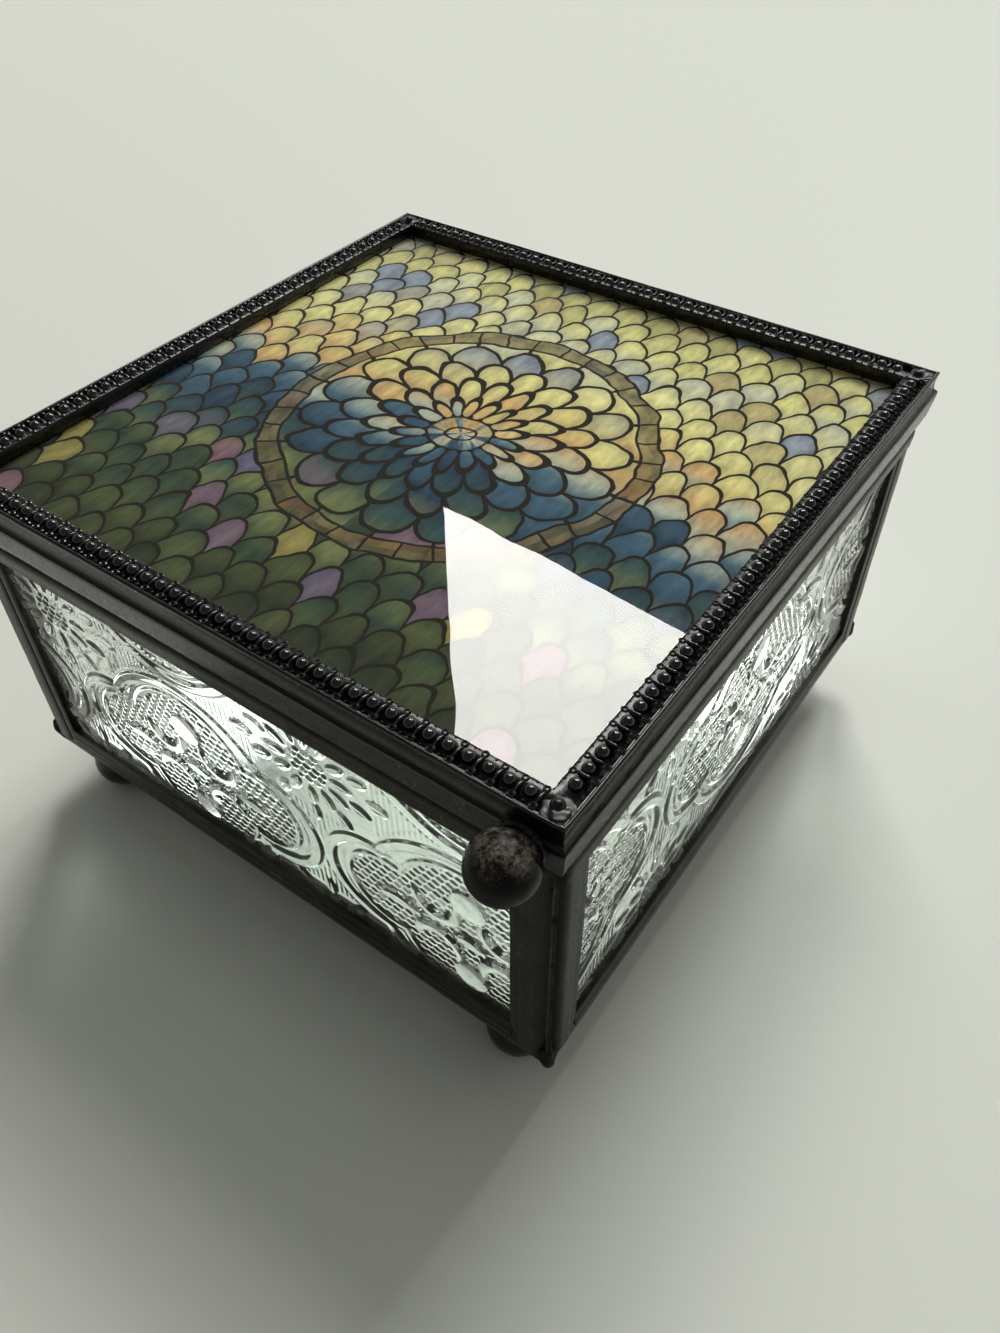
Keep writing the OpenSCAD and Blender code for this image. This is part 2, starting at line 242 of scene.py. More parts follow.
def patina_metal(name, dark, worn, rust, rough=(0.22, 0.42), grain=1600.0, metal=0.3, shine=0.6,
                 groove_shade=False):
    """Dark patina: paler where rubbed, browner in patches and, if asked, with painted shade down the
    grooves.
    """
    material, tree, shader = new_material(name, Metallic=metal, Specular_IOR_Level=shine)
    place = object_place(tree)
    clouds = noise(tree, place, 170.0, 5.0, 0.65)
    rubbed = ramp(tree, clouds, [(0.4, dark), (0.68, worn)])
    patches = noise(tree, object_place(tree, (1, 1, 0.35), (3, 1, 2)), 110.0, 3.0, 0.55)
    colour = mixed(tree, spread(tree, patches, 0.5, 0.72, 0.0, 0.7), rubbed, rust)
    fine = noise(tree, place, grain, 4.0, 0.65)
    roughness = spread(tree, fine, 0.3, 0.7, *rough)
    if groove_shade:
        # Painted shade: the colour goes near black and the surface rougher down the corner grooves
        groove_shade_mask = groove_painted_shade(tree)
        colour = mixed(tree, groove_shade_mask, colour, seen(9, 6, 7))
        roughness = between(tree, groove_shade_mask, roughness, 0.85)
    tree.links.new(colour, shader.inputs["Base Color"])
    tree.links.new(roughness, shader.inputs["Roughness"])
    bump(tree, fine, shader, 0.35, 0.00006)
    return material


# The came carries painted shade in the grooves at the upright corners
came_metal = patina_metal("came patina and painted groove shade", seen(20, 15, 12), seen(50, 43, 38), seen(46, 33, 30),
                          (0.24, 0.44), 1600.0, 0.15, 0.28, True)
bead_metal = patina_metal("bead trim patina", seen(8, 7, 7), seen(27, 25, 23), seen(20, 16, 14),
                          (0.07, 0.22), 1600.0, 0.15, 0.9)
band_metal = patina_metal("lid band patina", seen(8, 7, 7), seen(24, 22, 20), seen(19, 15, 14),
                          (0.14, 0.34), 1300.0, 0.1, 0.4)
dab_metal = patina_metal("corner solder patina", seen(8, 7, 7), seen(26, 24, 22), seen(20, 16, 14),
                         (0.2, 0.4), 1100.0, 0.0, 0.35)
seam_metal = patina_metal("groove solder patina", seen(5, 4, 4), seen(17, 14, 13), seen(24, 16, 17),
                          (0.35, 0.6), 1100.0, 0.0, 0.2)
foot_metal = patina_metal("ball foot patina", seen(14, 12, 11), seen(40, 36, 33), seen(30, 23, 20),
                          (0.2, 0.42), 1100.0, 0.1, 0.4)
solder_metal = patina_metal("darkened solder", seen(32, 30, 28), seen(96, 92, 86), seen(60, 46, 38),
                            (0.15, 0.35), 1100.0)
hinge_metal = patina_metal("hinge patina", seen(48, 46, 43), seen(92, 88, 82), seen(58, 48, 40))


# The ball's paler crown starts this far above its foot and is full this far below its top, in metres
PALE_CROWN_FROM = 0.0055
PALE_CROWN_FULL = 0.0004


def ball_patina():
    """A near-black ball that turns grainy, grey-brown and rougher towards its crown."""
    material, tree, shader = new_material("ball patina", Specular_IOR_Level=0.1)
    place = object_place(tree)
    grains = noise(tree, place, 1900.0, 4.0, 0.8)
    clouds = noise(tree, place, 380.0, 4.0, 0.6)
    low_end, high_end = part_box("lift_ball")
    # Paler, grainier and rougher towards the crown, set by height alone
    up = spread(tree, axes(tree, place)["Z"], low_end.z + PALE_CROWN_FROM, high_end.z - PALE_CROWN_FULL, 0.0, 1.0)
    pale_crown = sums(tree, "MULTIPLY", up, spread(tree, clouds, 0.4, 0.6, 0.1, 1.0))
    pale_crown = sums(tree, "MULTIPLY", pale_crown, spread(tree, grains, 0.42, 0.6, 0.1, 1.0))
    colour = mixed(tree, pale_crown, seen(5, 4, 4), seen(118, 110, 100))
    tree.links.new(colour, shader.inputs["Base Color"])
    tree.links.new(spread(tree, pale_crown, 0.0, 0.6, 0.14, 0.85), shader.inputs["Roughness"])
    bump(tree, grains, shader, 0.3, 0.00008)
    return material


def lamp_passes(tree, shader, tint):
    """Lets a lamp's light through glass: shadow rays meet a clear tinted surface instead."""
    clear = tree.nodes.new("ShaderNodeBsdfTransparent")
    clear.inputs["Color"].default_value = (*tint, 1.0)
    path = tree.nodes.new("ShaderNodeLightPath")
    choice = tree.nodes.new("ShaderNodeMixShader")
    tree.links.new(path.outputs["Is Shadow Ray"], choice.inputs[0])
    tree.links.new(shader.outputs["BSDF"], choice.inputs[1])
    tree.links.new(clear.outputs["BSDF"], choice.inputs[2])
    tree.links.new(choice.outputs["Shader"], tree.nodes["Material Output"].inputs["Surface"])


def pressed_glass():
    """Clear pressed glass with a faint green body colour and fire-polished ripples."""
    material, tree, shader = new_material("pressed glass", IOR=1.5, Roughness=0.05)
    shader.inputs["Base Color"].default_value = (0.96, 0.993, 0.976, 1)
    shader.inputs["Transmission Weight"].default_value = 1.0
    fine = noise(tree, object_place(tree), 500.0, 2.0, 0.5)
    bump(tree, fine, shader, 0.1, 0.00006)
    lamp_passes(tree, shader, (0.94, 0.975, 0.955))
    return material


def plain_glass(name, tint):
    """Flat clear glass with a faint ripple and a little dust."""
    material, tree, shader = new_material(name, IOR=1.5)
    shader.inputs["Base Color"].default_value = (*tint, 1)
    shader.inputs["Transmission Weight"].default_value = 1.0
    place = object_place(tree)
    dust = noise(tree, place, 2200.0, 3.0, 0.7)
    tree.links.new(spread(tree, dust, 0.5, 0.75, 0.0, 0.03), shader.inputs["Roughness"])
    ripple = noise(tree, place, 45.0, 2.0, 0.5)
    bump(tree, ripple, shader, 0.12, 0.0004)
    lamp_passes(tree, shader, (0.95, 0.97, 0.96))
    return material


def backed_glass():
    """The lid's backing pane with the sheet's white back close behind it: white under gloss."""
    material, tree, shader = new_material("backing glass over paper", Specular_IOR_Level=0.5)
    place = object_place(tree)
    clouds = noise(tree, place, 90.0, 4.0, 0.6)
    colour = ramp(tree, clouds, [(0.3, seen(232, 234, 224)), (0.7, seen(241, 243, 236))])
    tree.links.new(colour, shader.inputs["Base Color"])
    tree.links.new(spread(tree, clouds, 0.3, 0.7, 0.03, 0.09), shader.inputs["Roughness"])
    return material


def mirror_finish():
    """An aged mirror: slightly hazy, with dull specks."""
    material, tree, shader = new_material("mirror", Metallic=1.0)
    place = object_place(tree)
    specks = noise(tree, place, 420.0, 3.0, 0.5)
    colour = ramp(tree, specks, [(0.25, (0.55, 0.56, 0.55)), (0.36, (0.93, 0.95, 0.94))])
    tree.links.new(colour, shader.inputs["Base Color"])
    tree.links.new(spread(tree, specks, 0.3, 0.5, 0.26, 0.16), shader.inputs["Roughness"])
    return material


# ---- The printed sheet: leaded petals round a ring, and scales that fill the corners ----
print_low, print_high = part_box("lid_print")
PRINT_MID = (print_low.z + print_high.z) / 2 / MM
# Half the printed depth, and the ranges over which the lines and a cell's colour stray
PRINT_REACH = 47.0
LINE_STRAY = 3.2
COLOUR_STRAY = 13.0
CELL_W = 5.4
CELL_H = 4.6
PETAL_H = 5.0
RING_R = 27.0
RING_HALF = 1.5
PETALS = 18
BOSS_R = 4.4
EYE_R = 1.7
LEAD_W = 0.16
LEAD_SOFT = 0.12
# Colours from the front edge to the back edge
GROUND = [(0.0, seen(52, 60, 42)), (0.09, seen(84, 92, 58)), (0.17, seen(52, 70, 56)),
          (0.25, seen(122, 128, 84)), (0.31, seen(60, 84, 80)), (0.38, seen(44, 66, 86)),
          (0.46, seen(74, 104, 124)), (0.5, seen(176, 184, 170)), (0.56, seen(206, 168, 116)),
          (0.63, seen(216, 206, 142)), (0.74, seen(222, 216, 158)), (0.83, seen(196, 198, 178)),
          (0.9, seen(218, 212, 148)), (1.0, seen(172, 168, 112))]


def scale_cells(tree, across, along):
    """Rows of overlapping scales: how near the next edge is, and a number pair for each scale."""
    row = sums(tree, "FLOOR", along)
    up = sums(tree, "SUBTRACT", along, row)
    shift = sums(tree, "MULTIPLY", sums(tree, "FLOORED_MODULO", row, 2.0), 0.5)
    moved = sums(tree, "SUBTRACT", across, shift)
    centre = sums(tree, "ROUND", moved)
    off = sums(tree, "MULTIPLY", apart(tree, moved, centre), 2.0)
    here = from_middle(tree, off, up)
    past = from_middle(tree, sums(tree, "SUBTRACT", 1.0, off), sums(tree, "ADD", up, 1.0))
    own = sums(tree, "LESS_THAN", here, 1.0)
    scale_row = sums(tree, "SUBTRACT", sums(tree, "ADD", row, 1.0), own)
    other = sums(tree, "SUBTRACT", 0.5, shift)
    next_centre = sums(tree, "ADD", sums(tree, "ROUND", sums(tree, "SUBTRACT", across, other)), other)
    scale_centre = between(tree, own, next_centre, sums(tree, "ADD", centre, shift))
    edge = sums(tree, "MINIMUM", apart(tree, here, 1.0), apart(tree, past, 1.0))
    return edge, scale_centre, scale_row


def triple(tree, first, second, third):
    """Three numbers joined as a vector."""
    node = tree.nodes.new("ShaderNodeCombineXYZ")
    for socket, value in zip(node.inputs, (first, second, third)):
        tree.links.new(value, socket)
    return node.outputs["Vector"]


def dice(tree, vector):
    """A steady random number for each cell."""
    node = tree.nodes.new("ShaderNodeTexWhiteNoise")
    node.noise_dimensions = "3D"
    tree.links.new(vector, node.inputs["Vector"])
    return node.outputs["Value"]


def lead_line(tree, value, middle):
    """1 on a line of lead, where a value is near the line's middle, and 0 a little past it."""
    return spread(tree, apart(tree, value, middle), LEAD_W, LEAD_W + LEAD_SOFT, 1.0, 0.0)


def printed_paper():
    """A generic leaded design in cream, yellow, orange, blue and green, on white stock."""
    material, tree, shader = new_material("printed sheet", Roughness=0.6, Specular_IOR_Level=0.05)
    place = box_place(tree)
    stray = axes(tree, noise(tree, place, 0.13, 2.0, 0.5, "Color"))
    spot = axes(tree, place)
    x = sums(tree, "MULTIPLY_ADD", sums(tree, "SUBTRACT", stray["X"], 0.5), LINE_STRAY, spot["X"])
    y = sums(tree, "MULTIPLY_ADD", sums(tree, "SUBTRACT", stray["Y"], 0.5), LINE_STRAY, spot["Y"])
    # Petals go round inside the ring, and rows of scales run across outside it
    reach = from_middle(tree, x, y)
    turn = sums(tree, "DIVIDE", sums(tree, "ARCTAN2", x, y), 2 * math.pi)
    inside = sums(tree, "LESS_THAN", reach, RING_R)
    across = between(tree, inside, sums(tree, "DIVIDE", x, CELL_W),
                     sums(tree, "MULTIPLY", turn, float(PETALS)))
    along = between(tree, inside, sums(tree, "DIVIDE", y, CELL_H),
                    sums(tree, "DIVIDE", sums(tree, "SUBTRACT", reach, BOSS_R), PETAL_H))
    edge, cell_x, cell_y = scale_cells(tree, across, along)
    petal_lead = sums(tree, "MULTIPLY", spread(tree, reach, BOSS_R, RING_R, 0.17, 0.05), inside)
    lead = sums(tree, "LESS_THAN", edge, sums(tree, "MAXIMUM", petal_lead, 0.065))
    # The ring, cut into short pieces, and the boss in the middle
    from_ring = apart(tree, reach, RING_R)
    ring = sums(tree, "LESS_THAN", from_ring, RING_HALF)
    boss = sums(tree, "LESS_THAN", reach, BOSS_R)
    plain = sums(tree, "SUBTRACT", 1.0, sums(tree, "MAXIMUM", ring, boss))
    lead = sums(tree, "MULTIPLY", lead, plain)
    rim = lead_line(tree, from_ring, RING_HALF)
    pieces = sums(tree, "MULTIPLY", turn, 2.0 * PETALS)
    cut = sums(tree, "LESS_THAN", apart(tree, pieces, sums(tree, "ROUND", pieces)), 0.045)
    cut = sums(tree, "MULTIPLY", cut, ring)
    hub = sums(tree, "MAXIMUM", lead_line(tree, reach, BOSS_R), lead_line(tree, reach, EYE_R))
    lead = sums(tree, "MAXIMUM", sums(tree, "MAXIMUM", lead, rim), sums(tree, "MAXIMUM", cut, hub))
    # Each cell takes its colour from the ground near it, and some take an accent
    ring_piece = sums(tree, "ROUND", sums(tree, "ADD", pieces, 0.5))
    ring_cell = sums(tree, "MULTIPLY_ADD", ring_piece, ring, inside)
    chance = dice(tree, triple(tree, cell_x, cell_y, ring_cell))
    other = dice(tree, triple(tree, cell_y, cell_x, ring_cell))
    drift = sums(tree, "MULTIPLY", sums(tree, "SUBTRACT", chance, 0.5), COLOUR_STRAY)
    depth = spread(tree, sums(tree, "ADD", y, drift), -PRINT_REACH, PRINT_REACH, 0.0, 1.0)
    colour = ramp(tree, depth, GROUND)
    front = spread(tree, y, -14.0, -22.0, 0.0, 1.0)
    accent = sums(tree, "MULTIPLY", sums(tree, "GREATER_THAN", other, 0.86), front)
    colour = mixed(tree, accent, colour, ramp(tree, chance, [(0.2, seen(128, 98, 108)),
                                                             (0.55, seen(98, 98, 124)),
                                                             (0.8, seen(150, 140, 84))]))
    back = spread(tree, y, 8.0, 22.0, 0.0, 1.0)
    haze = sums(tree, "MULTIPLY", sums(tree, "GREATER_THAN", other, 0.78), back)
    colour = mixed(tree, haze, colour, ramp(tree, chance, [(0.3, seen(140, 150, 168)),
                                                           (0.7, seen(190, 176, 128))]))
    colour = mixed(tree, sums(tree, "MULTIPLY", ring, 0.75), colour, ramp(tree, chance, [
        (0.2, seen(96, 88, 60)), (0.6, seen(132, 116, 78)), (0.9, seen(108, 74, 52))]))
    # Streaks in the glass that the print copies, shading in each cell, and the print's own grain
    streaks = noise(tree, object_place(tree, (1, 0.28, 1)), 620.0, 4.0, 0.7)
    colour = mixed(tree, 1.0, colour, ramp(tree, streaks, [(0.3, (0.62, 0.62, 0.64)),
                                                           (0.7, (1.2, 1.18, 1.1))]), "MULTIPLY")
    shade = spread(tree, edge, 0.0, 0.5, 0.72, 1.05)
    shades = ramp(tree, shade, [(0.7, (0.7, 0.7, 0.7)), (1.0, (1, 1, 1))])
    colour = mixed(tree, 1.0, colour, shades, "MULTIPLY")
    colour = mixed(tree, lead, colour, seen(34, 28, 22))
    face_up = sums(tree, "GREATER_THAN", spot["Z"], PRINT_MID)
    colour = mixed(tree, face_up, (0.78, 0.77, 0.72), colour)
    tree.links.new(colour, shader.inputs["Base Color"])
    grain = noise(tree, place, 6.0, 2.0, 0.6)
    bump(tree, grain, shader, 0.15, 0.00004)
    return material


glass = pressed_glass()
cover_glass = plain_glass("cover glass", (0.97, 0.985, 0.975))
backing = backed_glass()
mirror = mirror_finish()
paper = printed_paper()
ball_metal = ball_patina()

# ---- The pressed pattern: heights over one repeat, in millimetres ----
REPEAT_X = 48.4
REPEAT_Z = 34.8


def soft_step(value, edge, width):
    """0 below the edge and 1 above it, with a smooth slope of this width."""
    t = np.clip((value - edge) / width + 0.5, 0, 1)
    return t * t * (3 - 2 * t)


def ridge(distance, width):
    """A rounded ridge along distance 0."""
    return np.exp(-((distance / width) ** 2))


def union_reach(x, z, hub_up, hub_r, side_at, side_r):
    """How far inside a quatrefoil a point is: top and bottom lobes and two side lobes."""
    hub = hub_r - np.hypot(x, np.abs(z) - hub_up)
    hub = np.where(np.abs(z) < hub_up, hub_r - np.abs(x), hub)
    side = side_r - np.hypot(np.abs(x) - side_at, z)
    return np.maximum(hub, side)


def petal(x, z, along, across):
    """1 on a pointed oval round the origin, falling to 0 at its edge."""
    lens = 1 - (np.abs(z) / across + (x / along) ** 2)
    return np.clip(lens * 1.8, 0, 1)


def dots(x, z, pitch_x, pitch_z):
    """Rounded dots in staggered rows, 1 at each dot's top."""
    row = np.round(z / pitch_z)
    off_x = (x + row % 2 * pitch_x / 2 + pitch_x / 2) % pitch_x - pitch_x / 2
    off_z = z - row * pitch_z
    near_dot = 1 - (off_x / (0.46 * pitch_x)) ** 2 - (off_z / (0.46 * pitch_z)) ** 2
    return np.sqrt(np.clip(near_dot, 0, 1))


def quatrefoil(x, z):
    """The medallion: a double outline, a stippled ground and its scrolls, leaves and bosses."""
    outer = union_reach(x, z, 0.0, 17.4, 14.6, 9.6)
    inner = union_reach(x, z, 3.2, 10.6, 12.7, 6.4)
    height = -0.12 * soft_step(outer, 0.0, 0.6)
    height += 0.4 * soft_step(outer, 0.35, 0.6) * (1 - soft_step(outer, 2.1, 0.8))
    height += 0.3 * ridge(inner + 0.55, 0.4)
    height += 0.12 * ridge(inner + 1.9, 0.45)
    ground = soft_step(inner, 0.1, 0.5)
    height += ground * (0.24 * dots(x, z, 1.45, 1.25) - 0.14)
    motif = np.zeros_like(x)
    for up in (-1, 1):
        boss = np.hypot(x, z - up * 8.2)
        motif = np.maximum(motif, 0.46 * np.sqrt(np.clip(1 - (boss / 2.9) ** 2, 0, 1)))
        for side in (-1, 1):
            dx = (x - side * 5.2) * side
            dz = (z - up * 5.0) * up
            angle = np.arctan2(dz, -dx)
            radius = np.hypot(dx, dz)
            reach = np.clip(1 - (np.abs(angle + 0.5 * math.pi - 0.1) / 1.9) ** 2, 0, 1)
            motif = np.maximum(motif, 0.42 * reach ** 0.5 * ridge(radius - 3.3, 0.35 + 0.7 * reach))
    for side in (-1, 1):
        motif = np.maximum(motif, 0.44 * petal(x - side * 11.2, z, 4.1, 1.5) ** 0.6)
    motif = np.maximum(motif, 0.42 * petal(x, z, 2.8, 1.5) ** 0.6)
    cover = soft_step(motif, 0.08, 0.08)
    moat = soft_step(motif, 0.01, 0.02) - cover
    height = height * (1 - cover) + motif * cover - 0.12 * moat
    return height, outer


def rosette(x, z):
    """The daisy in the gap between four medallions: seeds, petals and pointed leaves."""
    radius = np.hypot(x, z)
    angle = np.arctan2(z, x)
    height = 0.34 * dots(x, z, 1.5, 1.2) * (1 - soft_step(radius, 3.1, 0.6))
    for count, start, reach, width, turn in ((12, 3.4, 7.6, 0.95, 0.0), (10, 6.6, 10.8, 1.05, 0.31),
                                             (2, 9.0, 13.4, 1.3, 0.0)):
        step = 2 * math.pi / count
        sector = (angle + turn + step / 2) % step - step / 2
        along = radius * np.cos(sector) - (start + reach) / 2
        across = radius * np.sin(sector)
        blade = petal(along, across, (reach - start) / 2, width)
        height = np.maximum(height, 0.42 * blade ** 0.7 - 0.14 * ridge(across, 0.2) * (blade > 0.2))
    hatch_zone = soft_step(np.abs(x), 10.0, 0.8) + soft_step(np.abs(z), 8.4, 0.8)
    hatch = 0.13 * np.cos(2 * math.pi * x / 0.88)
    return np.maximum(height, hatch * np.clip(hatch_zone, 0, 1))


def pressed_height(x, z):
    """Height of the pressed face over the pane, for a medallion centred at x = z = 0."""
    near_x = (x + REPEAT_X / 2) % REPEAT_X - REPEAT_X / 2
    near_z = (z + REPEAT_Z / 2) % REPEAT_Z - REPEAT_Z / 2
    medallion, inside = quatrefoil(near_x, near_z)
    gap_x = (x % REPEAT_X) - REPEAT_X / 2
    gap_z = (z % REPEAT_Z) - REPEAT_Z / 2
    return np.where(inside > 0, medallion, rosette(gap_x, gap_z) * soft_step(-inside, 0.3, 0.5))


# Where a medallion's centre falls on each pane: across from its middle, and above the panel's foot
MEDALLION_AT = {"front": (-11.4, 15.7), "right": (0.9, 24.4), "back": (8.0, 19.3), "left": (-19.0, 10.3)}
GLASS_STEP = 0.22
PRESS_DEPTH = 0.7
# The pattern's ground lies this far behind the pane's face, and its rim is plain
GROUND_SUNK = 0.4
PLAIN_RIM = 1.6


def pressed_pane(side):
    """One pane: a fine sheet with the pattern on its outer face, closed behind."""
    glass_low, glass_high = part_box("front_glass")
    half = glass_high.x / MM
    bottom = glass_low.z / MM
    top = glass_high.z / MM
    face = glass_low.y / MM - CENTRE_Y
    back = glass_high.y / MM - CENTRE_Y
    shape = bmesh.new()
    bmesh.ops.create_grid(shape, x_segments=int(2 * half / GLASS_STEP),
                          y_segments=int((top - bottom) / GLASS_STEP), size=1.0)
    rim = [edge for edge in shape.edges if edge.is_boundary]
    wall = bmesh.ops.extrude_edge_only(shape, edges=rim)["geom"]
    back_rim = [item for item in wall if isinstance(item, bmesh.types.BMVert)]
    bmesh.ops.translate(shape, verts=back_rim, vec=(0, 0, -1))
    edges = [item for item in wall if isinstance(item, bmesh.types.BMEdge) and item.is_boundary]
    bmesh.ops.edgenet_fill(shape, edges=edges)
    bmesh.ops.recalc_face_normals(shape, faces=shape.faces)
    mesh = bpy.data.meshes.new(side + "_pressed_glass")
    shape.to_mesh(mesh)
    shape.free()
    points = np.zeros(len(mesh.vertices) * 3, np.float32)
    mesh.vertices.foreach_get("co", points)
    points = points.reshape(-1, 3).astype(float)
    x = points[:, 0] * half
    z = (points[:, 1] + 1) / 2 * (top - bottom) + bottom
    at_x, at_z = MEDALLION_AT[side]
    height = PRESS_DEPTH * pressed_height(x - at_x, z - PANEL_Z - at_z)
    margin = np.minimum(half - np.abs(x), np.minimum(z - bottom, top - z))
    height = height * soft_step(margin, PLAIN_RIM, 0.8) - GROUND_SUNK
    y = np.where(points[:, 2] > -0.5, face - height, back)
    place = np.array(side_matrix(side))
    world = np.stack([x, y, z, np.ones_like(x)], 1) @ place.T
    mesh.vertices.foreach_set("co", world[:, :3].astype(np.float32).ravel())
    mesh.update()
    shown_mesh(mesh, side + "_pressed_glass", "box", glass, [side + "_glass"], 60.0)


for side in SIDES:
    pressed_pane(side)


def arc(y, z, r, start, end, steps):
    """Points on an arc, with angles in degrees."""
    angles = [math.radians(start + (end - start) * i / steps) for i in range(steps + 1)]
    return [(y + r * math.cos(a), z + r * math.sin(a)) for a in angles]


def stretched(shape, face, step, cuts):
    """Draws a flat face out by a step and cuts the long edges, so that the strip can waver."""
    grown = bmesh.ops.extrude_face_region(shape, geom=face, use_keep_orig=True)["geom"]
    far = [item for item in grown if isinstance(item, bmesh.types.BMVert)]
    bmesh.ops.translate(shape, verts=far, vec=step)
    along = Vector(step).normalized()
    long_edges = [edge for edge in shape.edges
                  if abs((edge.verts[0].co - edge.verts[1].co).dot(along)) > Vector(step).length / 2]
    bmesh.ops.subdivide_edges(shape, edges=long_edges, cuts=cuts)
    return shape


def swept(section, cuts, half=0.0, ease=1.0):
    """A section of (distance out, height) run along the front.

    It is mitred at both ends, or square when it has half its length given. An ease above 1 sets
    the cuts closer together towards the ends.
    """
    shape = bmesh.new()
    ends = [shape.verts.new((-1, -out, up)) for out, up in section]
    face = bmesh.ops.contextual_create(shape, geom=ends)["faces"]
    stretched(shape, face, (2, 0, 0), cuts)
    for vert in shape.verts:
        along = 1 - (1 - abs(vert.co.x)) ** ease
        vert.co.x = math.copysign(along, vert.co.x) * (half or -vert.co.y)
    return shape


def upright(plan, length, cuts):
    """A plan of (across, distance out) drawn upwards from 0."""
    shape = bmesh.new()
    ends = [shape.verts.new((across, -out, 0)) for across, out in plan]
    face = bmesh.ops.contextual_create(shape, geom=ends)["faces"]
    return stretched(shape, face, (0, 0, length), cuts)


def waver(shape, seed, amount, above):
    """Slight dents and bends, as hand-cut strip has, on what is farther out than a distance."""
    for vert in shape.verts:
        if -vert.co.y < above:
            continue
        slow = Vector((vert.co.x * 0.16 + seed, vert.co.y * 0.2, vert.co.z * 0.16))
        quick = Vector((vert.co.x * 0.7, vert.co.y * 0.7 + seed, vert.co.z * 0.7))
        vert.co.x += amount * field.noise(slow)
        vert.co.y += amount * field.noise(slow + Vector((0, 5, 0))) + 0.3 * amount * field.noise(quick)
        vert.co.z += amount * field.noise(slow + Vector((0, 0, 9))) + 0.3 * amount * field.noise(quick)


# ---- The came round each panel, in millimetres ----
# The rolled edge at a panel's end: its radius, and its middle's distance in from the face
ROLL_R = 1.5
ROLL_IN = 2.72
# How far a top came stands past the face, and how far one strip laps the next
TOP_PROUD = 0.3
LAP = 0.4
# The channel that holds the pane
SLOT_FRONT = FACE - 0.65
SLOT_BACK = FACE - 3.35
SLOT_END = INNER - 0.45
# How far round the roll the groove's solder reaches, in degrees, and how far each drip stands out
SEAM_TURN = 24.0
SEAMS = ("front_right", "back_right", "back_left", "front_left")
DRIPS = (0.85, 0.35, 0.5, 0.4)


def upright_plan():
    """An upright at a panel's right end: flange, crowned face, rolled edge and channel."""
    x = UPRIGHT_X
    face = [(x, FACE - 0.6), (x + 0.02, FACE - 0.42), (x + 0.14, FACE - 0.33),
            (x + 0.6, FACE - 0.26), (x + 1.2, FACE - 0.21), (x + 1.45, FACE - 0.16),
            (x + 1.75, FACE - 0.05), (x + 2.2, FACE - 0.01), (x + 2.8, FACE), (x + 3.4, FACE - 0.02)]
    roll = arc(FACE - ROLL_IN, FACE - ROLL_R, ROLL_R - 0.03, 86, 4, 10)
    back = [(INNER, INNER), (x, INNER), (x, SLOT_BACK), (SLOT_END, SLOT_BACK), (SLOT_END, SLOT_FRONT)]
    return face + roll + back


def level_section(width, face):
    """A level came: (distance out, height above its closed edge)."""
    rim = [(face - 0.6, width), (face - 0.42, width - 0.02), (face - 0.32, width - 0.14),
           (face - 0.23, width - 0.9), (face - 0.2, width - 1.25), (face - 0.05, width - 1.6)]
    roll = arc(face - 1.2, 1.2, 1.2, 0, -90, 8)
    back = [(INNER + 0.4, 0), (INNER, 0.4), (INNER, width), (SLOT_BACK, width), (SLOT_BACK, 0.9),
            (SLOT_FRONT, 0.9)]
    return rim + roll + back


def round_ends(shape, face):
    """Draws the mitred ends of a level came in to the rolled edge that the uprights have."""
    centre = face - ROLL_IN
    for vert in shape.verts:
        past = min(max(abs(vert.co.x) - centre, 0), ROLL_R - 0.02)
        limit = face - ROLL_R + math.sqrt(ROLL_R ** 2 - past ** 2)
        vert.co.x = math.copysign(min(abs(vert.co.x), centre + ROLL_R - 0.02), vert.co.x)
        vert.co.y = max(vert.co.y, -limit)
    bmesh.ops.remove_doubles(shape, verts=shape.verts, dist=0.0005)


def panel_cames(side, seed):
    """The four strips of one panel: the bottom one laps the uprights, and they lap the top one."""
    panel_foot = side_matrix(side) @ Matrix.Translation((0, 0, PANEL_Z))
    for end, sign in (("right", 1), ("left", -1)):
        shape = upright(upright_plan(), PANEL_TOP - TOP_CAME_W + LAP - PANEL_Z, 36)
        waver(shape, seed + sign * 3, 0.06, FACE - 1.8)
        place = panel_foot @ Matrix.Scale(sign, 4, (1, 0, 0))
        shown_piece(shape, side + "_rolled_upright_" + end, "box", came_metal, place,
                    [side + "_upright_" + end])
    shape = swept(level_section(BOTTOM_CAME_W, FACE - 0.04), 80, half=UPRIGHT_X + LAP)
    waver(shape, seed + 7, 0.07, FACE - 1.5)
    shown_piece(shape, side + "_rolled_bottom_came", "box", came_metal, panel_foot,
                [side + "_bottom_came"])
    shape = swept(level_section(TOP_CAME_W, FACE + TOP_PROUD), 90, ease=1.7)
    round_ends(shape, FACE + TOP_PROUD)
    waver(shape, seed + 11, 0.05, FACE - 1.5)
    place = side_matrix(side) @ Matrix.Translation((0, 0, PANEL_TOP)) @ Matrix.Scale(-1, 4, (0, 0, 1))
    shown_piece(shape, side + "_rolled_top_came", "box", came_metal, place,
                [side + "_top_came"])


